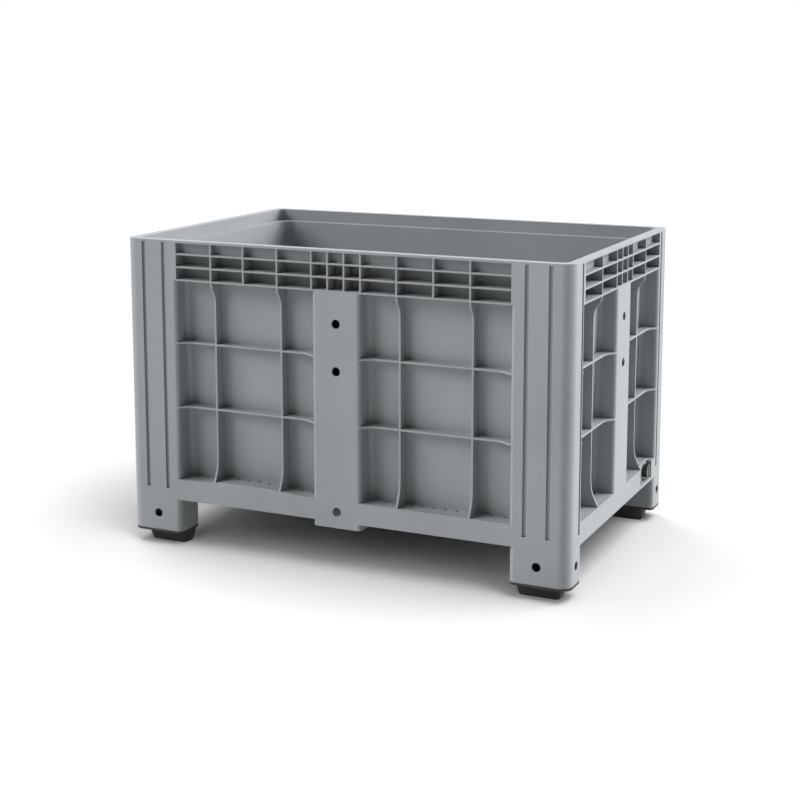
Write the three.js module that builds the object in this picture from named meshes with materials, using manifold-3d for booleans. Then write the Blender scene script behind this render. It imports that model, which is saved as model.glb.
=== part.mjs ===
// Plastic pallet box with solid walls on four legs: one moulded body, four rubber foot caps
// and a screwed drain plug with its seal ring. Millimetres, +Z up, origin at the bottom centre,
// X along the long sides. The long front side faces -Y.

import * as THREE from 'three';
import { mergeVertices } from 'three/addons/utils/BufferGeometryUtils.js';
import Module from 'manifold-3d';

const wasm = await Module();
wasm.setup();

// Overall size
const LENGTH = 1200;
const WIDTH = 800;
const HEIGHT = 800;
const WALL = 5;
const CORNER_RADIUS = 30;
const FIT_GAP = 0.3;

// Heights from the floor
const LEG_BOTTOM = 40;
const APRON_BOTTOM = 126;
const LEDGE_HEIGHT = 180;
const FLOOR_HEIGHT = 185;

// Rim with the stacking step, and the cell band under it
const FLANGE_THICKNESS = 6;
const RIM_WIDTH = 24;
const RIM_CORNER_RADIUS = 20;
const STEP_DEPTH = 32;
const SHELF_THICKNESS = 4.5;
const SHELF_PITCH = 33;
const CELL_RIB = 4.5;
const LONG_CELL_RIBS = [22, 66, 161, 256, 349];
const SHORT_CELL_RIBS = [22.5, 68, 185];

// Panels lean in towards the floor
const PANEL_DEPTH_TOP = 44;
const PANEL_DEPTH_BOTTOM = 56;
const INNER_CORNER_RADIUS = 40;
const BAY_FILLET = 12;
const EDGE_RADIUS = 10;

// Posts at the corners and columns in the middle of the sides
const POST_WIDTH_LONG = 150;
const POST_WIDTH_SHORT = 84;
const LEG_WIDTH_SHORT = 90;
const LEG_EDGE_RADIUS = 14;
const COLUMN_WIDTH_LONG = 130;
const COLUMN_WIDTH_SHORT = 120;
const COLUMN_BOTTOM = 110;

// Ribs across the panels, the level ones measured down from the band
const RIB = 5;
const LONG_PANEL_RIBS = [161, 349];
const SHORT_PANEL_RIBS = [185];
const CROSS_RIB_DROPS = [165, 332];
const RIB_SET_BACK = 20;
const RIB_TOP_LENGTH = 47;
const RIB_FOOT_LENGTH = 65;
const RIB_END_LENGTH = 45;

// Grooves in the post faces, measured in from the ends of the side
const GROOVE_WIDTH = 10;
const GROOVE_DEPTH = 5;
const GROOVE_BOTTOM = 153;
const LONG_GROOVE_MARGINS = [112, 54];
const SHORT_GROOVE_MARGINS = [66];

// Round holes, those in the columns measured down from the band
const HOLE_DIAMETER = 23;
const COLUMN_HOLE_DROPS = [82, 199];
const COLUMN_FOOT_HOLE_HEIGHT = 151;
const LEG_HOLE_HEIGHT = 84;
const LEG_HOLE_MARGIN_LONG = 81;
const LEG_HOLE_MARGIN_SHORT = 50;
const WEEP_DIAMETER = 11;
const WEEP_PITCH = 30.5;
const WEEP_DEPTH = 45;
const WEEP_END_MARGIN = 14;

// Arched ledge in the left bay of the front
const ARCH_RISE = 8;

// Rib grid under the floor
const GRID_RIB = 4;
const GRID_PITCH = 150;
const GRID_BOTTOM = 130;

// Drain: a sump under the floor, a pocket in the right side and a screwed plug below the ledge
const DRAIN_TO_POST = 54;
const DRAIN_DROP = 23;
const POCKET_DEPTH = 14;
const POCKET_LENGTH = 104;
const POCKET_BEHIND_PLUG = 26;
const POCKET_BELOW_PLUG = 23;
const SUMP_LENGTH = 86;
const SUMP_WIDTH = 60;
const PLUG_HEAD_DIAMETER = 38;
const PLUG_SHANK_DIAMETER = 24;
const PLUG_SHANK_LENGTH = 16;
const PLUG_GRIP_COUNT = 8;
const PLUG_GRIP_DEPTH = 1.6;
const PLUG_GRIP_STEPS = 4;
const PLUG_SLOT_WIDTH = 5;
const PLUG_SLOT_DEPTH = 3;
const SEAL_THICKNESS = 3;
const SEAL_DIAMETER = 34;

// Foot caps
const FOOT_FLANGE = 6;
const FOOT_INSET_OUTER = 27;
const FOOT_INSET_INNER = 3;
const FOOT_TAPER = 8;
const FOOT_CORNER_RADIUS = 12;
const FOOT_PLUG_HEIGHT = 20;

// Steps in round corners, curves and holes
const LARGE_RADIUS = 20;
const LARGE_ARC_STEPS = 5;
const ARC_STEPS = 3;
const CURVE_STEPS = 4;
const HOLE_STEPS = 12;
const WEEP_STEPS = 6;
const SAME_POINT_DISTANCE = 1e-6;

const HALF_LENGTH = LENGTH / 2;
const HALF_WIDTH = WIDTH / 2;
const FLANGE_BOTTOM = HEIGHT - FLANGE_THICKNESS;
const STEP_LEDGE = HEIGHT - STEP_DEPTH;
const POST_LONG_EDGE = HALF_LENGTH - POST_WIDTH_LONG;
const POST_SHORT_EDGE = HALF_WIDTH - POST_WIDTH_SHORT;
const LEG_SHORT_EDGE = HALF_WIDTH - LEG_WIDTH_SHORT;
const BAND_BOTTOM = STEP_LEDGE - 2 * SHELF_PITCH;
const BAND_FLOOR = BAND_BOTTOM - SHELF_THICKNESS;
const LEDGE_BOTTOM = LEDGE_HEIGHT - WALL;
const LONG_GROOVES = LONG_GROOVE_MARGINS.map((margin) => HALF_LENGTH - margin);
const SHORT_GROOVES = SHORT_GROOVE_MARGINS.map((margin) => HALF_WIDTH - margin);
const DRAIN_ALONG = POST_SHORT_EDGE - DRAIN_TO_POST;
const DRAIN_HEIGHT = LEDGE_HEIGHT - DRAIN_DROP;
const POCKET_BOTTOM = DRAIN_HEIGHT - POCKET_BELOW_PLUG;
const OVERCUT = 2;

// The four sides, each described as if it were the front one
const LONG_SIDE = {
  half: HALF_WIDTH,
  postEdge: POST_LONG_EDGE,
  column: COLUMN_WIDTH_LONG,
  cellRibs: LONG_CELL_RIBS,
  panelRibs: LONG_PANEL_RIBS,
  grooves: LONG_GROOVES,
  legHole: HALF_LENGTH - LEG_HOLE_MARGIN_LONG,
};
const SHORT_SIDE = {
  half: HALF_LENGTH,
  postEdge: POST_SHORT_EDGE,
  column: COLUMN_WIDTH_SHORT,
  cellRibs: SHORT_CELL_RIBS,
  panelRibs: SHORT_PANEL_RIBS,
  grooves: SHORT_GROOVES,
  legHole: HALF_WIDTH - LEG_HOLE_MARGIN_SHORT,
};
const SIDES = [
  { ...LONG_SIDE, turn: 0 },
  { ...SHORT_SIDE, turn: 1 },
  { ...LONG_SIDE, turn: 2 },
  { ...SHORT_SIDE, turn: 3 },
];
const LONG_SIDES = [SIDES[0], SIDES[2]];
const DRAIN_SIDE = SIDES[1];

function solidOf(geometry) {
  const bare = geometry.clone();
  bare.deleteAttribute('normal');
  bare.deleteAttribute('uv');
  const merged = mergeVertices(bare, 1e-4);
  return new wasm.Manifold(new wasm.Mesh({
    numProp: 3,
    vertProperties: new Float32Array(merged.attributes.position.array),
    triVerts: new Uint32Array(merged.index.array),
  }));
}

function geometryOf(solid) {
  const mesh = solid.getMesh();
  const geometry = new THREE.BufferGeometry();
  geometry.setAttribute('position', new THREE.BufferAttribute(mesh.vertProperties, 3));
  geometry.setIndex(new THREE.BufferAttribute(mesh.triVerts, 1));
  return geometry;
}

function joined(solids) {
  return solids.reduce((sum, solid) => sum.add(solid));
}

function mirrored(values) {
  return values.flatMap((value) => [-value, value]);
}

// Outline through corners given as [x, y, radius], each corner rounded by its own radius
function rounded(corners) {
  const points = [];
  const place = (point) => {
    const last = points[points.length - 1];
    if (!last || last.distanceTo(point) > SAME_POINT_DISTANCE) {
      points.push(point);
    }
  };
  corners.forEach(([x, y, radius = 0], index) => {
    const corner = new THREE.Vector2(x, y);
    const [beforeX, beforeY] = corners[(index + corners.length - 1) % corners.length];
    const [afterX, afterY] = corners[(index + 1) % corners.length];
    const toBefore = new THREE.Vector2(beforeX, beforeY).sub(corner).normalize();
    const toAfter = new THREE.Vector2(afterX, afterY).sub(corner).normalize();
    if (radius === 0) {
      place(corner);
      return;
    }
    const halfAngle = Math.acos(toBefore.dot(toAfter)) / 2;
    const bisector = toBefore.clone().add(toAfter).normalize();
    const centre = corner.clone().addScaledVector(bisector, radius / Math.sin(halfAngle));
    const start = corner.clone().addScaledVector(toBefore, radius / Math.tan(halfAngle)).sub(centre);
    const end = corner.clone().addScaledVector(toAfter, radius / Math.tan(halfAngle)).sub(centre);
    const sweep = Math.atan2(start.cross(end), start.dot(end));
    const steps = radius >= LARGE_RADIUS ? LARGE_ARC_STEPS : ARC_STEPS;
    for (let step = 0; step <= steps; step += 1) {
      place(start.clone().rotateAround(new THREE.Vector2(), (sweep * step) / steps).add(centre));
    }
  });
  return points;
}

function rectangle(x0, x1, y0, y1, radius = 0) {
  return [[x0, y0, radius], [x1, y0, radius], [x1, y1, radius], [x0, y1, radius]];
}

// Body between a lower and an upper outline with the same number of points
function loft(lower, upper, bottom, top) {
  const contour = THREE.ShapeUtils.isClockWise(lower) ? [...lower].reverse() : lower;
  const lid = THREE.ShapeUtils.isClockWise(upper) ? [...upper].reverse() : upper;
  const count = contour.length;
  const positions = [];
  contour.forEach((point) => positions.push(point.x, point.y, bottom));
  lid.forEach((point) => positions.push(point.x, point.y, top));
  const indices = [];
  THREE.ShapeUtils.triangulateShape(contour, []).forEach(([a, b, c]) => {
    indices.push(a, c, b);
    indices.push(a + count, b + count, c + count);
  });
  for (let index = 0; index < count; index += 1) {
    const next = (index + 1) % count;
    indices.push(index, next, next + count);
    indices.push(index, next + count, index + count);
  }
  const geometry = new THREE.BufferGeometry();
  geometry.setAttribute('position', new THREE.Float32BufferAttribute(positions, 3));
  geometry.setIndex(indices);
  return solidOf(geometry);
}

function prism(corners, bottom, top) {
  const outline = rounded(corners);
  return loft(outline, outline, bottom, top);
}

function block(x0, x1, y0, y1, z0, z1) {
  const geometry = new THREE.BoxGeometry(x1 - x0, y1 - y0, z1 - z0);
  geometry.translate((x0 + x1) / 2, (y0 + y1) / 2, (z0 + z1) / 2);
  return solidOf(geometry);
}

// Round bar from one depth behind a side's outer plane to another
function boreInSide(side, along, height, diameter, from, to) {
  const geometry = new THREE.CylinderGeometry(diameter / 2, diameter / 2, to - from, HOLE_STEPS);
  geometry.translate(along, (from + to) / 2 - side.half, height);
  return solidOf(geometry);
}

// Turns a solid made on the front side to the side where it belongs
function turned(side, solid) {
  return solid.rotate([0, 0, side.turn * 90]);
}

function panelDepth(height) {
  const share = (height - LEDGE_HEIGHT) / (BAND_FLOOR - LEDGE_HEIGHT);
  return THREE.MathUtils.lerp(PANEL_DEPTH_BOTTOM, PANEL_DEPTH_TOP, share);
}

// Inside of the box as a leaning rounded block, grown outwards by a margin
function innerBlock(margin, bottom, top) {
  const outlineAt = (height) => {
    const inset = panelDepth(height) + WALL - margin;
    const halfX = HALF_LENGTH - inset;
    const halfY = HALF_WIDTH - inset;
    return rounded(rectangle(-halfX, halfX, -halfY, halfY, INNER_CORNER_RADIUS + margin));
  };
  return loft(outlineAt(bottom), outlineAt(top), bottom, top);
}

function stackingStep() {
  const halfX = HALF_LENGTH - RIM_WIDTH;
  const halfY = HALF_WIDTH - RIM_WIDTH;
  return prism(rectangle(-halfX, halfX, -halfY, halfY, RIM_CORNER_RADIUS), STEP_LEDGE, HEIGHT + OVERCUT);
}

// Bay between a column and a post, wide mouth with rounded edges, filleted at the panel
function bay(side) {
  const near = side.column / 2;
  const far = side.postEdge;
  const outlineAt = (height) => {
    const back = panelDepth(height) - side.half;
    const front = -side.half;
    return rounded([
      [near - EDGE_RADIUS, front - OVERCUT],
      [near - EDGE_RADIUS, front],
      [near, front, EDGE_RADIUS],
      [near, back, BAY_FILLET],
      [far, back, BAY_FILLET],
      [far, front, EDGE_RADIUS],
      [far + EDGE_RADIUS, front],
      [far + EDGE_RADIUS, front - OVERCUT],
    ]);
  };
  return loft(outlineAt(LEDGE_HEIGHT), outlineAt(BAND_FLOOR), LEDGE_HEIGHT, BAND_FLOOR);
}

function mirroredAcross(solid) {
  return [solid, solid.mirror([1, 0, 0])];
}

function bays(side) {
  return joined(mirroredAcross(bay(side)));
}

// Three rows of cells behind the outer plane. The top row is shallow, in front of the rim wall.
function cells(side) {
  const ribs = mirrored(side.cellRibs).sort((a, b) => a - b);
  const starts = [-side.postEdge, ...ribs.map((rib) => rib + CELL_RIB / 2)];
  const ends = [...ribs.map((rib) => rib - CELL_RIB / 2), side.postEdge];
  const rows = [
    { bottom: STEP_LEDGE, top: FLANGE_BOTTOM, depth: RIM_WIDTH - WALL },
    { bottom: BAND_BOTTOM + SHELF_PITCH, top: STEP_LEDGE - SHELF_THICKNESS, depth: PANEL_DEPTH_TOP },
    { bottom: BAND_BOTTOM, top: BAND_BOTTOM + SHELF_PITCH - SHELF_THICKNESS, depth: PANEL_DEPTH_TOP },
  ];
  return joined(rows.flatMap((row) => starts.map((start, index) => block(
    start,
    ends[index],
    -side.half - OVERCUT,
    row.depth - side.half,
    row.bottom,
    row.top,
  ))));
}

function extruded(shape, thickness) {
  return new THREE.ExtrudeGeometry(shape, {
    depth: thickness,
    bevelEnabled: false,
    curveSegments: CURVE_STEPS,
  });
}

// Upright rib whose front edge swings out to the shelf above and to the ledge below
function uprightRib(side) {
  const back = PANEL_DEPTH_BOTTOM + WALL;
  const middle = RIB_SET_BACK / 2;
  const shape = new THREE.Shape();
  shape.moveTo(back, LEDGE_BOTTOM);
  shape.lineTo(0, LEDGE_BOTTOM);
  shape.lineTo(0, LEDGE_HEIGHT);
  shape.bezierCurveTo(
    middle, LEDGE_HEIGHT + RIB_FOOT_LENGTH / 3,
    RIB_SET_BACK, LEDGE_HEIGHT + RIB_FOOT_LENGTH / 2,
    RIB_SET_BACK, LEDGE_HEIGHT + RIB_FOOT_LENGTH,
  );
  shape.lineTo(RIB_SET_BACK, BAND_FLOOR - RIB_TOP_LENGTH);
  shape.bezierCurveTo(
    RIB_SET_BACK, BAND_FLOOR - RIB_TOP_LENGTH / 2,
    0, BAND_FLOOR - RIB_TOP_LENGTH / 2,
    0, BAND_FLOOR,
  );
  shape.lineTo(0, BAND_BOTTOM);
  shape.lineTo(back, BAND_BOTTOM);
  const geometry = extruded(shape, RIB);
  geometry.rotateX(Math.PI / 2);
  geometry.rotateZ(Math.PI / 2);
  geometry.translate(-RIB / 2, -side.half, 0);
  return solidOf(geometry);
}

// Level rib across a bay whose front edge swings out to the post and to the column
function crossRib(side, height) {
  const back = PANEL_DEPTH_BOTTOM + WALL;
  const near = side.column / 2 - EDGE_RADIUS;
  const far = side.postEdge + EDGE_RADIUS;
  const shape = new THREE.Shape();
  shape.moveTo(near, 0);
  shape.bezierCurveTo(
    near + RIB_END_LENGTH / 2, 0,
    near + RIB_END_LENGTH / 2, RIB_SET_BACK,
    near + RIB_END_LENGTH, RIB_SET_BACK,
  );
  shape.lineTo(far - RIB_END_LENGTH, RIB_SET_BACK);
  shape.bezierCurveTo(
    far - RIB_END_LENGTH / 2, RIB_SET_BACK,
    far - RIB_END_LENGTH / 2, 0,
    far, 0,
  );
  shape.lineTo(far, back);
  shape.lineTo(near, back);
  const geometry = extruded(shape, RIB);
  geometry.translate(0, -side.half, height - RIB / 2);
  return solidOf(geometry);
}

function panelRibs(side) {
  const upright = uprightRib(side);
  const uprights = mirrored(side.panelRibs).map((along) => upright.translate([along, 0, 0]));
  const heights = CROSS_RIB_DROPS.map((drop) => BAND_BOTTOM - drop);
  const crossings = heights.flatMap((height) => mirroredAcross(crossRib(side, height)));
  return joined([...uprights, ...crossings]);
}

// Low arch on the ledge of one bay, as wide as the bay
function archedLedge(side) {
  const near = -side.column / 2;
  const far = -side.postEdge;
  const middle = (near + far) / 2;
  const shape = new THREE.Shape();
  shape.moveTo(far, LEDGE_BOTTOM);
  shape.lineTo(near, LEDGE_BOTTOM);
  shape.lineTo(near, LEDGE_HEIGHT);
  shape.bezierCurveTo(
    (near + middle) / 2, LEDGE_HEIGHT,
    (near + middle) / 2, LEDGE_HEIGHT + ARCH_RISE,
    middle, LEDGE_HEIGHT + ARCH_RISE,
  );
  shape.bezierCurveTo(
    (far + middle) / 2, LEDGE_HEIGHT + ARCH_RISE,
    (far + middle) / 2, LEDGE_HEIGHT,
    far, LEDGE_HEIGHT,
  );
  const geometry = extruded(shape, PANEL_DEPTH_BOTTOM + WALL);
  geometry.rotateX(Math.PI / 2);
  geometry.translate(0, PANEL_DEPTH_BOTTOM + WALL - side.half, 0);
  return solidOf(geometry);
}

// Hollow of a column, open downwards
function columnHollow(side) {
  const half = side.column / 2 - WALL;
  return block(
    -half,
    half,
    WALL - side.half,
    PANEL_DEPTH_BOTTOM - side.half,
    COLUMN_BOTTOM - OVERCUT,
    BAND_FLOOR - WALL,
  );
}

// End of a long side's column, which reaches lower than the apron
function columnFoot(side) {
  const half = side.column / 2;
  const front = -side.half;
  const back = PANEL_DEPTH_BOTTOM + WALL - side.half;
  return prism([
    [-half, front, EDGE_RADIUS],
    [half, front, EDGE_RADIUS],
    [half, back],
    [-half, back],
  ], COLUMN_BOTTOM, LEDGE_BOTTOM + OVERCUT / 2);
}

// Corner outline in the quarter where x and y are positive
function legOutline(inset) {
  return [
    [POST_LONG_EDGE + inset, LEG_SHORT_EDGE + inset, LEG_EDGE_RADIUS - inset],
    [HALF_LENGTH - inset, LEG_SHORT_EDGE + inset, LEG_EDGE_RADIUS - inset],
    [HALF_LENGTH - inset, HALF_WIDTH - inset, CORNER_RADIUS - inset],
    [POST_LONG_EDGE + inset, HALF_WIDTH - inset, LEG_EDGE_RADIUS - inset],
  ];
}

// Hollow of a post above the leg
function postHollow() {
  const hollow = prism([
    [POST_LONG_EDGE + WALL, POST_SHORT_EDGE + WALL],
    [HALF_LENGTH - WALL, POST_SHORT_EDGE + WALL],
    [HALF_LENGTH - WALL, HALF_WIDTH - WALL, CORNER_RADIUS - WALL],
    [POST_LONG_EDGE + WALL, HALF_WIDTH - WALL],
  ], LEDGE_BOTTOM - OVERCUT, STEP_LEDGE - SHELF_THICKNESS - WALL);
  return hollow.subtract(innerBlock(WALL, LEDGE_BOTTOM - OVERCUT * 2, STEP_LEDGE));
}

// Walls behind the grooves of one corner
function grooveLands() {
  const land = GROOVE_WIDTH / 2 + WALL;
  const landDepth = GROOVE_DEPTH + WALL;
  const onLongSide = LONG_GROOVES.map((along) => block(
    along - land,
    along + land,
    HALF_WIDTH - landDepth,
    HALF_WIDTH,
    GROOVE_BOTTOM - WALL,
    HEIGHT,
  ));
  const onShortSide = SHORT_GROOVES.map((along) => block(
    HALF_LENGTH - landDepth,
    HALF_LENGTH,
    along - land,
    along + land,
    GROOVE_BOTTOM - WALL,
    HEIGHT,
  ));
  return joined([...onLongSide, ...onShortSide]);
}

function inAllCorners(solid) {
  return joined(mirroredAcross(solid).flatMap((half) => [half, half.mirror([0, 1, 0])]));
}

function grooves(side) {
  return joined(mirrored(side.grooves).map((along) => block(
    along - GROOVE_WIDTH / 2,
    along + GROOVE_WIDTH / 2,
    -side.half - OVERCUT,
    GROOVE_DEPTH - side.half,
    GROOVE_BOTTOM,
    FLANGE_BOTTOM,
  )));
}

function columnHoles(side) {
  return joined(COLUMN_HOLE_DROPS.map((drop) => boreInSide(
    side,
    0,
    BAND_BOTTOM - drop,
    HOLE_DIAMETER,
    -OVERCUT,
    WALL + OVERCUT,
  )));
}

function legHoles(side) {
  return joined(mirrored([side.legHole]).map((along) => boreInSide(
    side,
    along,
    LEG_HOLE_HEIGHT,
    HOLE_DIAMETER,
    -OVERCUT,
    WALL + OVERCUT,
  )));
}

function isOverSump(side, along) {
  const reach = SUMP_WIDTH / 2 + WALL + WEEP_DIAMETER / 2;
  return side === DRAIN_SIDE && Math.abs(along - DRAIN_ALONG) < reach;
}

// Row of weep holes through the ledge at the foot of each panel, but none above the sump
function weepHoles(side) {
  const near = side.column / 2;
  const room = side.postEdge - near - 2 * WEEP_END_MARGIN;
  const count = Math.floor(room / WEEP_PITCH) + 1;
  const first = (near + side.postEdge) / 2 - ((count - 1) * WEEP_PITCH) / 2;
  const geometry = new THREE.CylinderGeometry(
    WEEP_DIAMETER / 2,
    WEEP_DIAMETER / 2,
    LEDGE_HEIGHT + ARCH_RISE - LEDGE_BOTTOM + 2 * OVERCUT,
    WEEP_STEPS,
  );
  geometry.rotateX(Math.PI / 2);
  geometry.translate(0, WEEP_DEPTH - side.half, (LEDGE_HEIGHT + ARCH_RISE + LEDGE_BOTTOM) / 2);
  const hole = solidOf(geometry);
  const places = Array.from({ length: count }, (_, index) => first + index * WEEP_PITCH);
  const kept = mirrored(places).filter((along) => !isOverSump(side, along));
  return joined(kept.map((along) => hole.translate([along, 0, 0])));
}

// Ribs under the floor, both ways, up to the apron walls
function gridRibs() {
  const ribs = [];
  const top = FLOOR_HEIGHT - WALL / 2;
  for (let x = 0; x < HALF_LENGTH - GRID_PITCH / 2; x += GRID_PITCH) {
    ribs.push(...mirroredAcross(block(
      x - GRID_RIB / 2,
      x + GRID_RIB / 2,
      WALL / 2 - HALF_WIDTH,
      HALF_WIDTH - WALL / 2,
      GRID_BOTTOM,
      top,
    )));
  }
  for (let y = 0; y < HALF_WIDTH - GRID_PITCH / 2; y += GRID_PITCH) {
    const rib = block(
      WALL / 2 - HALF_LENGTH,
      HALF_LENGTH - WALL / 2,
      y - GRID_RIB / 2,
      y + GRID_RIB / 2,
      GRID_BOTTOM,
      top,
    );
    ribs.push(rib, rib.mirror([0, 1, 0]));
  }
  return joined(ribs);
}

// The facets of the bore clear the corners of the shank by the fit gap
const BORE_DIAMETER = (PLUG_SHANK_DIAMETER + 2 * FIT_GAP) / Math.cos(Math.PI / HOLE_STEPS);
const SUMP_FRONT = POCKET_DEPTH + WALL;
const SUMP_BOTTOM = POCKET_BOTTOM;

// Walls of the drain, made for the right side as if it were the front one
function drainBlock() {
  const front = -DRAIN_SIDE.half;
  const pocketEnd = DRAIN_ALONG + POCKET_BEHIND_PLUG;
  const backing = block(
    pocketEnd - POCKET_LENGTH - WALL,
    pocketEnd + WALL,
    front + WALL / 2,
    front + SUMP_FRONT,
    POCKET_BOTTOM - WALL,
    LEDGE_HEIGHT,
  );
  const sump = block(
    DRAIN_ALONG - SUMP_WIDTH / 2 - WALL,
    DRAIN_ALONG + SUMP_WIDTH / 2 + WALL,
    front + SUMP_FRONT - WALL,
    front + SUMP_FRONT + SUMP_LENGTH + WALL,
    SUMP_BOTTOM - WALL,
    FLOOR_HEIGHT - WALL / 2,
  );
  return backing.add(sump);
}

function drainCuts() {
  const front = -DRAIN_SIDE.half;
  const pocketEnd = DRAIN_ALONG + POCKET_BEHIND_PLUG;
  const pocket = block(
    pocketEnd - POCKET_LENGTH,
    pocketEnd,
    front - OVERCUT,
    front + POCKET_DEPTH,
    POCKET_BOTTOM,
    LEDGE_HEIGHT + OVERCUT,
  );
  const sump = block(
    DRAIN_ALONG - SUMP_WIDTH / 2,
    DRAIN_ALONG + SUMP_WIDTH / 2,
    front + SUMP_FRONT,
    front + SUMP_FRONT + SUMP_LENGTH,
    SUMP_BOTTOM,
    LEDGE_BOTTOM,
  );
  const inlet = block(
    DRAIN_ALONG - SUMP_WIDTH / 2,
    DRAIN_ALONG + SUMP_WIDTH / 2,
    front + PANEL_DEPTH_BOTTOM + 2 * WALL,
    front + SUMP_FRONT + SUMP_LENGTH,
    SUMP_BOTTOM,
    FLOOR_HEIGHT + OVERCUT,
  );
  const bore = boreInSide(
    DRAIN_SIDE,
    DRAIN_ALONG,
    DRAIN_HEIGHT,
    BORE_DIAMETER,
    POCKET_DEPTH - OVERCUT,
    SUMP_FRONT + OVERCUT,
  );
  return joined([pocket, sump, inlet, bore]);
}

function boxBody() {
  const outline = rectangle(-HALF_LENGTH, HALF_LENGTH, -HALF_WIDTH, HALF_WIDTH, CORNER_RADIUS);
  const baseX = HALF_LENGTH - WALL;
  const baseY = HALF_WIDTH - WALL;
  const floorInset = PANEL_DEPTH_BOTTOM + 2 * WALL;
  const baseHollow = prism(
    rectangle(-baseX, baseX, -baseY, baseY, CORNER_RADIUS - WALL),
    APRON_BOTTOM - OVERCUT,
    LEDGE_BOTTOM,
  );
  const floorHollow = block(
    floorInset - HALF_LENGTH,
    HALF_LENGTH - floorInset,
    floorInset - HALF_WIDTH,
    HALF_WIDTH - floorInset,
    LEDGE_BOTTOM - OVERCUT,
    FLOOR_HEIGHT - WALL,
  );
  let body = prism(outline, APRON_BOTTOM, HEIGHT)
    .subtract(joined(SIDES.map((side) => turned(side, bays(side).add(cells(side))))))
    .add(joined(SIDES.map((side) => turned(side, panelRibs(side)))))
    .add(turned(SIDES[0], archedLedge(SIDES[0])))
    .subtract(innerBlock(0, FLOOR_HEIGHT, STEP_LEDGE + OVERCUT))
    .subtract(stackingStep())
    .subtract(baseHollow.add(floorHollow));
  const leg = prism(legOutline(0), LEG_BOTTOM, LEDGE_BOTTOM + OVERCUT / 2);
  const bayRoom = joined(SIDES.map((side) => turned(side, bays(side))));
  body = body
    .add(gridRibs().subtract(bayRoom))
    .add(inAllCorners(leg))
    .add(joined(LONG_SIDES.map((side) => turned(side, columnFoot(side)))))
    .add(turned(DRAIN_SIDE, drainBlock()));
  const legHollow = prism(legOutline(WALL), LEG_BOTTOM - OVERCUT, LEDGE_BOTTOM);
  const shafts = joined(SIDES.map((side) => turned(side, columnHollow(side))))
    .subtract(innerBlock(WALL, COLUMN_BOTTOM - OVERCUT * 2, BAND_BOTTOM));
  return body
    .subtract(inAllCorners(legHollow.add(postHollow()).subtract(grooveLands())))
    .subtract(shafts)
    .subtract(turned(DRAIN_SIDE, drainCuts()))
    .subtract(joined(SIDES.map((side) => turned(side, grooves(side)))))
    .subtract(joined(SIDES.map((side) => turned(side, columnHoles(side).add(legHoles(side))))))
    .subtract(joined(SIDES.map((side) => turned(side, weepHoles(side)))))
    .subtract(joined(LONG_SIDES.map((side) => turned(side, boreInSide(
      side,
      0,
      COLUMN_FOOT_HOLE_HEIGHT,
      HOLE_DIAMETER,
      -OVERCUT,
      WALL + OVERCUT,
    )))));
}

// Rubber cap under a leg: a tread block, a flange as wide as the leg and a plug inside it
function footCap() {
  const treadAt = (taper) => rounded([
    [
      POST_LONG_EDGE + FOOT_INSET_INNER + taper,
      LEG_SHORT_EDGE + FOOT_INSET_INNER + taper,
      FOOT_CORNER_RADIUS,
    ],
    [
      HALF_LENGTH - FOOT_INSET_OUTER - taper,
      LEG_SHORT_EDGE + FOOT_INSET_INNER + taper,
      FOOT_CORNER_RADIUS,
    ],
    [
      HALF_LENGTH - FOOT_INSET_OUTER - taper,
      HALF_WIDTH - FOOT_INSET_OUTER - taper,
      FOOT_CORNER_RADIUS,
    ],
    [
      POST_LONG_EDGE + FOOT_INSET_INNER + taper,
      HALF_WIDTH - FOOT_INSET_OUTER - taper,
      FOOT_CORNER_RADIUS,
    ],
  ]);
  const flangeTop = LEG_BOTTOM - FIT_GAP;
  const flangeBottom = flangeTop - FOOT_FLANGE;
  const tread = loft(treadAt(FOOT_TAPER), treadAt(0), 0, flangeBottom);
  const flange = prism(legOutline(0), flangeBottom, flangeTop);
  const plug = prism(legOutline(WALL + FIT_GAP), flangeTop - OVERCUT, LEG_BOTTOM + FOOT_PLUG_HEIGHT);
  const plugHollow = prism(
    legOutline(2 * WALL + FIT_GAP),
    flangeTop,
    LEG_BOTTOM + FOOT_PLUG_HEIGHT + OVERCUT,
  );
  return joined([tread, flange, plug]).subtract(plugHollow);
}

// Plug turned about its own axis, standing with its end face up at zero height
function drainPlug() {
  const shoulder = POCKET_DEPTH - SEAL_THICKNESS - 2 * FIT_GAP;
  const outline = [];
  const count = PLUG_GRIP_COUNT * PLUG_GRIP_STEPS;
  for (let index = 0; index < count; index += 1) {
    const turn = (index / count) * 2 * Math.PI;
    const dip = (1 - Math.cos(turn * PLUG_GRIP_COUNT)) / 2;
    const radius = PLUG_HEAD_DIAMETER / 2 - PLUG_GRIP_DEPTH * dip;
    outline.push(new THREE.Vector2(radius * Math.cos(turn), radius * Math.sin(turn)));
  }
  const head = loft(outline, outline, -shoulder, 0);
  const shank = new THREE.CylinderGeometry(
    PLUG_SHANK_DIAMETER / 2,
    PLUG_SHANK_DIAMETER / 2,
    POCKET_DEPTH - shoulder + PLUG_SHANK_LENGTH + OVERCUT,
    HOLE_STEPS,
  );
  shank.rotateX(Math.PI / 2);
  shank.translate(0, 0, OVERCUT / 2 - (shoulder + POCKET_DEPTH + PLUG_SHANK_LENGTH) / 2);
  const slot = block(
    -PLUG_HEAD_DIAMETER / 2 + WALL,
    PLUG_HEAD_DIAMETER / 2 - WALL,
    -PLUG_SLOT_WIDTH / 2,
    PLUG_SLOT_WIDTH / 2,
    -PLUG_SLOT_DEPTH,
    OVERCUT,
  );
  return head.add(solidOf(shank)).subtract(slot);
}

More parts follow.
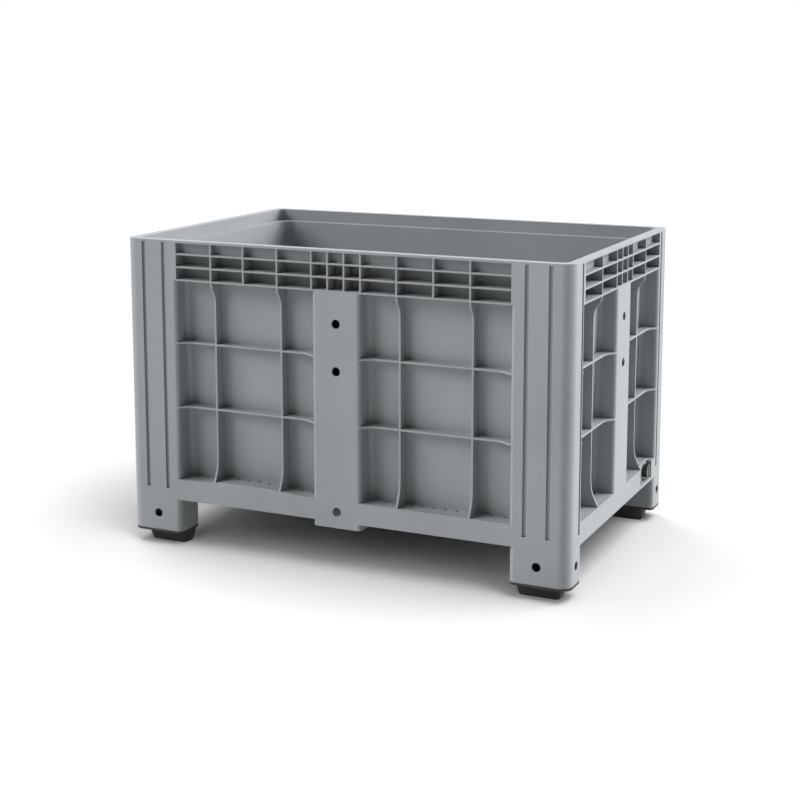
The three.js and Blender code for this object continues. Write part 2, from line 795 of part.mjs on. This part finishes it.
function sealRing() {
  const inner = PLUG_SHANK_DIAMETER / 2 + FIT_GAP;
  const outer = SEAL_DIAMETER / 2;
  const top = -(POCKET_DEPTH - SEAL_THICKNESS - FIT_GAP);
  const bottom = top - SEAL_THICKNESS;
  const profile = [
    new THREE.Vector2(inner, bottom),
    new THREE.Vector2(outer, bottom),
    new THREE.Vector2(outer, top),
    new THREE.Vector2(inner, top),
    new THREE.Vector2(inner, bottom),
  ];
  const geometry = new THREE.LatheGeometry(profile, HOLE_STEPS * 2);
  geometry.rotateX(Math.PI / 2);
  return solidOf(geometry);
}

function mesh(name, solid, material) {
  const piece = new THREE.Mesh(geometryOf(solid), material);
  piece.name = name;
  return piece;
}

function greyPlastic() {
  return new THREE.MeshStandardMaterial({ color: 0x8c9194, roughness: 0.5, metalness: 0 });
}

function blackRubber() {
  return new THREE.MeshStandardMaterial({ color: 0x222325, roughness: 0.75, metalness: 0 });
}

function blackPlastic() {
  return new THREE.MeshStandardMaterial({ color: 0x1b1c1e, roughness: 0.45, metalness: 0 });
}

const group = new THREE.Group();
group.add(mesh('box_body', boxBody(), greyPlastic()));

const cap = footCap();
const feet = [
  ['foot_front_left', cap.mirror([1, 0, 0]).mirror([0, 1, 0])],
  ['foot_front_right', cap.mirror([0, 1, 0])],
  ['foot_rear_left', cap.mirror([1, 0, 0])],
  ['foot_rear_right', cap],
];
feet.forEach(([name, solid]) => group.add(mesh(name, solid, blackRubber())));

// The drain pieces point out of the right side, with the plug's end face in the outer plane
const drain = new THREE.Group();
drain.position.set(HALF_LENGTH, DRAIN_ALONG, DRAIN_HEIGHT);
drain.rotation.set(0, Math.PI / 2, 0);
drain.add(mesh('drain_plug', drainPlug(), blackPlastic()));
drain.add(mesh('drain_plug_seal', sealRing(), blackRubber()));
group.add(drain);

export default group;
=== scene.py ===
import math

import bpy
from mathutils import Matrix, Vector


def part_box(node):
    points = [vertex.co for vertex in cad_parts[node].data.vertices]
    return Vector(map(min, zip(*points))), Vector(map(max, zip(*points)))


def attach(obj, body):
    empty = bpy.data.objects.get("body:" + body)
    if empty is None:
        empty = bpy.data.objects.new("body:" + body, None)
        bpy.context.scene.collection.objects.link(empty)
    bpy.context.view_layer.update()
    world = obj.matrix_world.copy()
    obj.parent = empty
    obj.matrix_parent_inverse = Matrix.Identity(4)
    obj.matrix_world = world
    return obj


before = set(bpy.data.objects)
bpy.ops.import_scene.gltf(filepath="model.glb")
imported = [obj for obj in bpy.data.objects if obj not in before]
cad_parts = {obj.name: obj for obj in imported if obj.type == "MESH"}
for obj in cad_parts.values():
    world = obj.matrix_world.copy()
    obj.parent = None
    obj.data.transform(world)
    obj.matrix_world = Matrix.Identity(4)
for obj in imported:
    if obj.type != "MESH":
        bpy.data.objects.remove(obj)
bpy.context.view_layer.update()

# Camera of the photograph: place in metres, turns in degrees, lens and sensor in millimetres
CAMERA_PLACE = Vector((1.683, -3.698, 1.288))
CAMERA_YAW = 24.63
CAMERA_PITCH = -8.90
CAMERA_LENS = 70.16
CAMERA_SENSOR = 36
CAMERA_SHIFT = -0.14

# Soft lights: turn from the front (right is positive) and height in degrees, and level
PART_SOFTNESS = math.radians(24)
PART_LIGHTS = {
    "left_front_low": (-50, 8, 0.11),
    "left_front": (-40, 32, 0.38),
    "left": (-70, 32, 0.77),
    "left_above": (-110, 60, 0.41),
    "right_low": (120, 8, 0.61),
    "right": (120, 32, 0.65),
    "right_above": (120, 60, 0.36),
    "right_back": (150, 32, 0.78),
}
FLOOR_SOFTNESS = math.radians(36)
FLOOR_LIGHTS = {
    "floor_left": (-60, 32, 0.13),
    "floor_left_back": (-120, 60, 0.35),
    "floor_front": (0, 32, 0.16),
    "floor_right": (60, 32, 0.17),
    "floor_right_above": (60, 60, 0.34),
    "floor_right_back": (120, 60, 0.39),
}

# The world is white to the rays listed and a faint light to all others
WHITE = (1, 1, 1, 1)
WHITE_RAYS = ("Is Camera Ray", "Is Glossy Ray", "Is Transmission Ray")
WHITE_LEVEL = 1.0
FAINT_LEVEL = 0.08

FLOOR_SIZE = 60
FLOOR_COLOUR = (0.92, 0.92, 0.92, 1)

# Moulded finishes: two colours and two roughnesses to drift between, noise scale of the skin's
# grain, and radius of the edge rounding in metres
FINISHES = {
    "grey_plastic": {
        "colours": ((0.205, 0.219, 0.228), (0.235, 0.250, 0.259)),
        "roughnesses": (0.56, 0.66),
        "grain_scale": 900,
        "edge": 0.0016,
    },
    "black_rubber": {
        "colours": ((0.007, 0.007, 0.008), (0.014, 0.014, 0.015)),
        "roughnesses": (0.6, 0.78),
        "grain_scale": 700,
        "edge": 0.0008,
    },
    "black_plastic": {
        "colours": ((0.010, 0.010, 0.011), (0.018, 0.018, 0.019)),
        "roughnesses": (0.35, 0.45),
        "grain_scale": 900,
        "edge": 0.0008,
    },
}
EDGE_SAMPLES = 6

# Noises of every finish as scale and detail, and the bumps as distance in metres and strength
COLOUR_NOISE = (3.5, 4)
COLOUR_NOISE_ROUGHNESS = 0.6
COLOUR_STRETCH = (1, 1, 0.5)
SHEEN_NOISE = (40, 3)
WAVE_NOISE = (9, 1)
WAVE_BUMP = (0.004, 0.12)
GRAIN_DETAIL = 2
GRAIN_BUMP = (0.0004, 0.25)

# Noise values at which colour and roughness reach their ends
COLOUR_SPAN = (0.35, 0.65)
SHEEN_SPAN = (0.3, 0.7)

NODE_FINISHES = {
    "box_body": "grey_plastic",
    "foot_front_left": "black_rubber",
    "foot_front_right": "black_rubber",
    "foot_rear_left": "black_rubber",
    "foot_rear_right": "black_rubber",
    "drain_plug_seal": "black_rubber",
    "drain_plug": "black_plastic",
}

# Clean-up of the CAD meshes before smooth shading, in metres and radians
WELD_DISTANCE = 0.00002
FLAT_ANGLE = math.radians(0.5)
SMOOTH_ANGLE = math.radians(38)

# Thread on the shank of the drain plug: lengths in metres, and its run-in in turns
THREAD_PITCH = 0.004
THREAD_ROOT = 0.0112
THREAD_TIP = 0.01218
THREAD_HALF_WIDTH = 0.0010
THREAD_LENGTH = 0.0142
THREAD_STEPS = 28
THREAD_RUN_IN = 0.25


def add_node(tree, kind, inputs=None, **properties):
    """Adds a node whose inputs, by name or number, are linked to sockets or set to values."""
    node = tree.nodes.new(kind)
    for name, value in properties.items():
        setattr(node, name, value)
    for name, value in (inputs or {}).items():
        if isinstance(value, bpy.types.NodeSocket):
            tree.links.new(value, node.inputs[name])
        else:
            node.inputs[name].default_value = value
    return node


def empty_tree(owner):
    """Node tree of a material or a world, cleared."""
    owner.use_nodes = True
    owner.node_tree.nodes.clear()
    return owner.node_tree


def add_object(name, data):
    thing = bpy.data.objects.new(name, data)
    bpy.context.collection.objects.link(thing)
    return thing


def noise(tree, place, scale, detail, roughness=0.5):
    inputs = {"Vector": place, "Scale": scale, "Detail": detail, "Roughness": roughness}
    return add_node(tree, "ShaderNodeTexNoise", inputs).outputs["Fac"]


def colour_between(tree, factor, ends):
    node = add_node(tree, "ShaderNodeValToRGB", {"Fac": factor})
    for element, position, colour in zip(node.color_ramp.elements, COLOUR_SPAN, ends):
        element.position = position
        element.color = (*colour, 1)
    return node.outputs["Color"]


def value_between(tree, factor, ends):
    inputs = {
        "Value": factor,
        "From Min": SHEEN_SPAN[0],
        "From Max": SHEEN_SPAN[1],
        "To Min": ends[0],
        "To Max": ends[1],
    }
    return add_node(tree, "ShaderNodeMapRange", inputs).outputs["Result"]


def bump(tree, normal, height, distance, strength):
    inputs = {"Normal": normal, "Height": height, "Distance": distance, "Strength": strength}
    return add_node(tree, "ShaderNodeBump", inputs).outputs["Normal"]


def moulded(name, colours, roughnesses, grain_scale, edge):
    """Moulded plastic or rubber: soft colour drift, fine skin grain and rounded edges."""
    material = bpy.data.materials.new(name)
    tree = empty_tree(material)
    place = add_node(tree, "ShaderNodeTexCoord").outputs["Object"]
    stretch = add_node(tree, "ShaderNodeMapping", {"Vector": place, "Scale": COLOUR_STRETCH})
    stretched = stretch.outputs["Vector"]
    drift = noise(tree, stretched, *COLOUR_NOISE, COLOUR_NOISE_ROUGHNESS)
    cloud = noise(tree, place, *SHEEN_NOISE)
    waves = noise(tree, place, *WAVE_NOISE)
    grain = noise(tree, place, grain_scale, GRAIN_DETAIL)
    rounding = add_node(tree, "ShaderNodeBevel", {"Radius": edge}, samples=EDGE_SAMPLES)
    normal = bump(tree, rounding.outputs["Normal"], waves, *WAVE_BUMP)
    normal = bump(tree, normal, grain, *GRAIN_BUMP)
    shader = add_node(tree, "ShaderNodeBsdfPrincipled", {
        "Base Color": colour_between(tree, drift, colours),
        "Roughness": value_between(tree, cloud, roughnesses),
        "Normal": normal,
    })
    add_node(tree, "ShaderNodeOutputMaterial", {"Surface": shader.outputs["BSDF"]})
    return material


def smooth_group():
    """Node group that shades faces smooth and keeps the edges above the angle sharp."""
    group = bpy.data.node_groups.new("smooth_by_angle", "GeometryNodeTree")
    group.interface.new_socket("Geometry", in_out="INPUT", socket_type="NodeSocketGeometry")
    group.interface.new_socket("Geometry", in_out="OUTPUT", socket_type="NodeSocketGeometry")
    start = add_node(group, "NodeGroupInput").outputs[0]
    angle = add_node(group, "GeometryNodeInputMeshEdgeAngle").outputs["Unsigned Angle"]
    sharp = add_node(
        group, "FunctionNodeCompare", {"A": angle, "B": SMOOTH_ANGLE}, operation="GREATER_THAN"
    )
    faces = add_node(group, "GeometryNodeSetShadeSmooth", {"Geometry": start}, domain="FACE")
    edges = add_node(group, "GeometryNodeSetShadeSmooth", {
        "Geometry": faces.outputs["Geometry"],
        "Selection": sharp.outputs["Result"],
        "Shade Smooth": False,
    }, domain="EDGE")
    add_node(group, "NodeGroupOutput", {0: edges.outputs["Geometry"]})
    return group


def dress(node_name, material, smoothing):
    """Gives a CAD node its finish and smooth curved stretches."""
    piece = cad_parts[node_name]
    for slot in piece.material_slots:
        slot.material = material
    weld = piece.modifiers.new("weld", "WELD")
    weld.merge_threshold = WELD_DISTANCE
    flat = piece.modifiers.new("flat", "DECIMATE")
    flat.decimate_type = "DISSOLVE"
    flat.angle_limit = FLAT_ANGLE
    smooth = piece.modifiers.new("smooth", "NODES")
    smooth.node_group = smoothing
    level = piece.modifiers.new("level", "WEIGHTED_NORMAL")
    level.keep_sharp = True


def thread_points(start, centre, count):
    """Root, tip and root of the ridge at each step; the tip rises from the root at both ends."""
    points = []
    rise = THREAD_RUN_IN * THREAD_STEPS
    for index in range(count + 1):
        angle = 2 * math.pi * index / THREAD_STEPS
        along = start + THREAD_HALF_WIDTH + THREAD_PITCH * index / THREAD_STEPS
        share = min(1.0, index / rise, (count - index) / rise)
        tip = THREAD_ROOT + (THREAD_TIP - THREAD_ROOT) * share
        profile = ((-THREAD_HALF_WIDTH, THREAD_ROOT), (0, tip), (THREAD_HALF_WIDTH, THREAD_ROOT))
        for offset, radius in profile:
            across = radius * math.cos(angle)
            up = radius * math.sin(angle)
            points.append((along + offset, centre.y + across, centre.z + up))
    return points


def thread_faces(count):
    """Two end faces, and three faces between each step and the next."""
    faces = [(0, 1, 2), (3 * count + 2, 3 * count + 1, 3 * count)]
    for index in range(count):
        here = 3 * index
        for corner in range(3):
            after = (corner + 1) % 3
            faces.append((here + corner, here + corner + 3, here + after + 3, here + after))
    return faces


def add_thread(material):
    """Helical ridge on the plug's shank, which shows when the plug is screwed out."""
    low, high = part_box("drain_plug")
    centre = (Vector(low) + Vector(high)) / 2
    turns = (THREAD_LENGTH - 2 * THREAD_HALF_WIDTH) / THREAD_PITCH
    count = int(turns * THREAD_STEPS)
    mesh = bpy.data.meshes.new("drain_plug_thread")
    mesh.from_pydata(thread_points(low[0], centre, count), [], thread_faces(count))
    mesh.materials.append(material)
    thread = add_object("drain_plug_thread", mesh)
    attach(thread, "plug")


def light_group(name, floor, state):
    """Collection that keeps the floor out of its lights, or keeps its lights to the floor."""
    group = bpy.data.collections.new(name)
    group.objects.link(floor)
    group.collection_objects[0].light_linking.link_state = state
    return group


def add_light(name, turn, height, level, softness, group):
    turn = math.radians(turn)
    height = math.radians(height)
    source = Vector((
        math.sin(turn) * math.cos(height),
        -math.cos(turn) * math.cos(height),
        math.sin(height),
    ))
    data = bpy.data.lights.new(name, "SUN")
    data.energy = level * math.pi
    data.angle = softness
    light = add_object(name, data)
    light.location = source
    light.rotation_euler = (-source).to_track_quat("-Z", "Y").to_euler()
    light.light_linking.receiver_collection = group


def add_lights(floor):
    """Separate lights for the part and the floor, so that each has the photograph's tones."""
    part_only = light_group("part_only", floor, "EXCLUDE")
    floor_only = light_group("floor_only", floor, "INCLUDE")
    for name, (turn, height, level) in PART_LIGHTS.items():
        add_light(name, turn, height, level, PART_SOFTNESS, part_only)
    for name, (turn, height, level) in FLOOR_LIGHTS.items():
        add_light(name, turn, height, level, FLOOR_SOFTNESS, floor_only)


def add_world():
    world = bpy.data.worlds.new("studio")
    bpy.context.scene.world = world
    tree = empty_tree(world)
    faint = add_node(tree, "ShaderNodeBackground", {"Color": WHITE, "Strength": FAINT_LEVEL})
    white = add_node(tree, "ShaderNodeBackground", {"Color": WHITE, "Strength": WHITE_LEVEL})
    path = add_node(tree, "ShaderNodeLightPath")
    shown, *others = [path.outputs[ray] for ray in WHITE_RAYS]
    for ray in others:
        either = add_node(tree, "ShaderNodeMath", {0: shown, 1: ray}, operation="MAXIMUM")
        shown = either.outputs["Value"]
    mix = add_node(tree, "ShaderNodeMixShader", {
        "Fac": shown,
        1: faint.outputs["Background"],
        2: white.outputs["Background"],
    })
    add_node(tree, "ShaderNodeOutputWorld", {"Surface": mix.outputs["Shader"]})


def add_floor():
    half = FLOOR_SIZE / 2
    corners = [(-half, -half, 0), (half, -half, 0), (half, half, 0), (-half, half, 0)]
    mesh = bpy.data.meshes.new("floor")
    mesh.from_pydata(corners, [], [(0, 1, 2, 3)])
    material = bpy.data.materials.new("floor")
    tree = empty_tree(material)
    shader = add_node(tree, "ShaderNodeBsdfDiffuse", {"Color": FLOOR_COLOUR})
    add_node(tree, "ShaderNodeOutputMaterial", {"Surface": shader.outputs["BSDF"]})
    mesh.materials.append(material)
    floor = add_object("floor", mesh)
    return floor


def add_camera():
    data = bpy.data.cameras.new("camera")
    data.lens = CAMERA_LENS
    data.sensor_width = CAMERA_SENSOR
    data.shift_y = CAMERA_SHIFT
    camera = add_object("camera", data)
    camera.location = CAMERA_PLACE
    camera.rotation_euler = (math.radians(90 + CAMERA_PITCH), 0, math.radians(CAMERA_YAW))
    bpy.context.scene.camera = camera


bpy.context.scene.view_settings.view_transform = "Standard"
add_camera()
add_world()
add_lights(add_floor())

materials = {name: moulded(name, **finish) for name, finish in FINISHES.items()}
smoothing = smooth_group()
for node_name, finish in NODE_FINISHES.items():
    dress(node_name, materials[finish], smoothing)
add_thread(materials["black_plastic"])
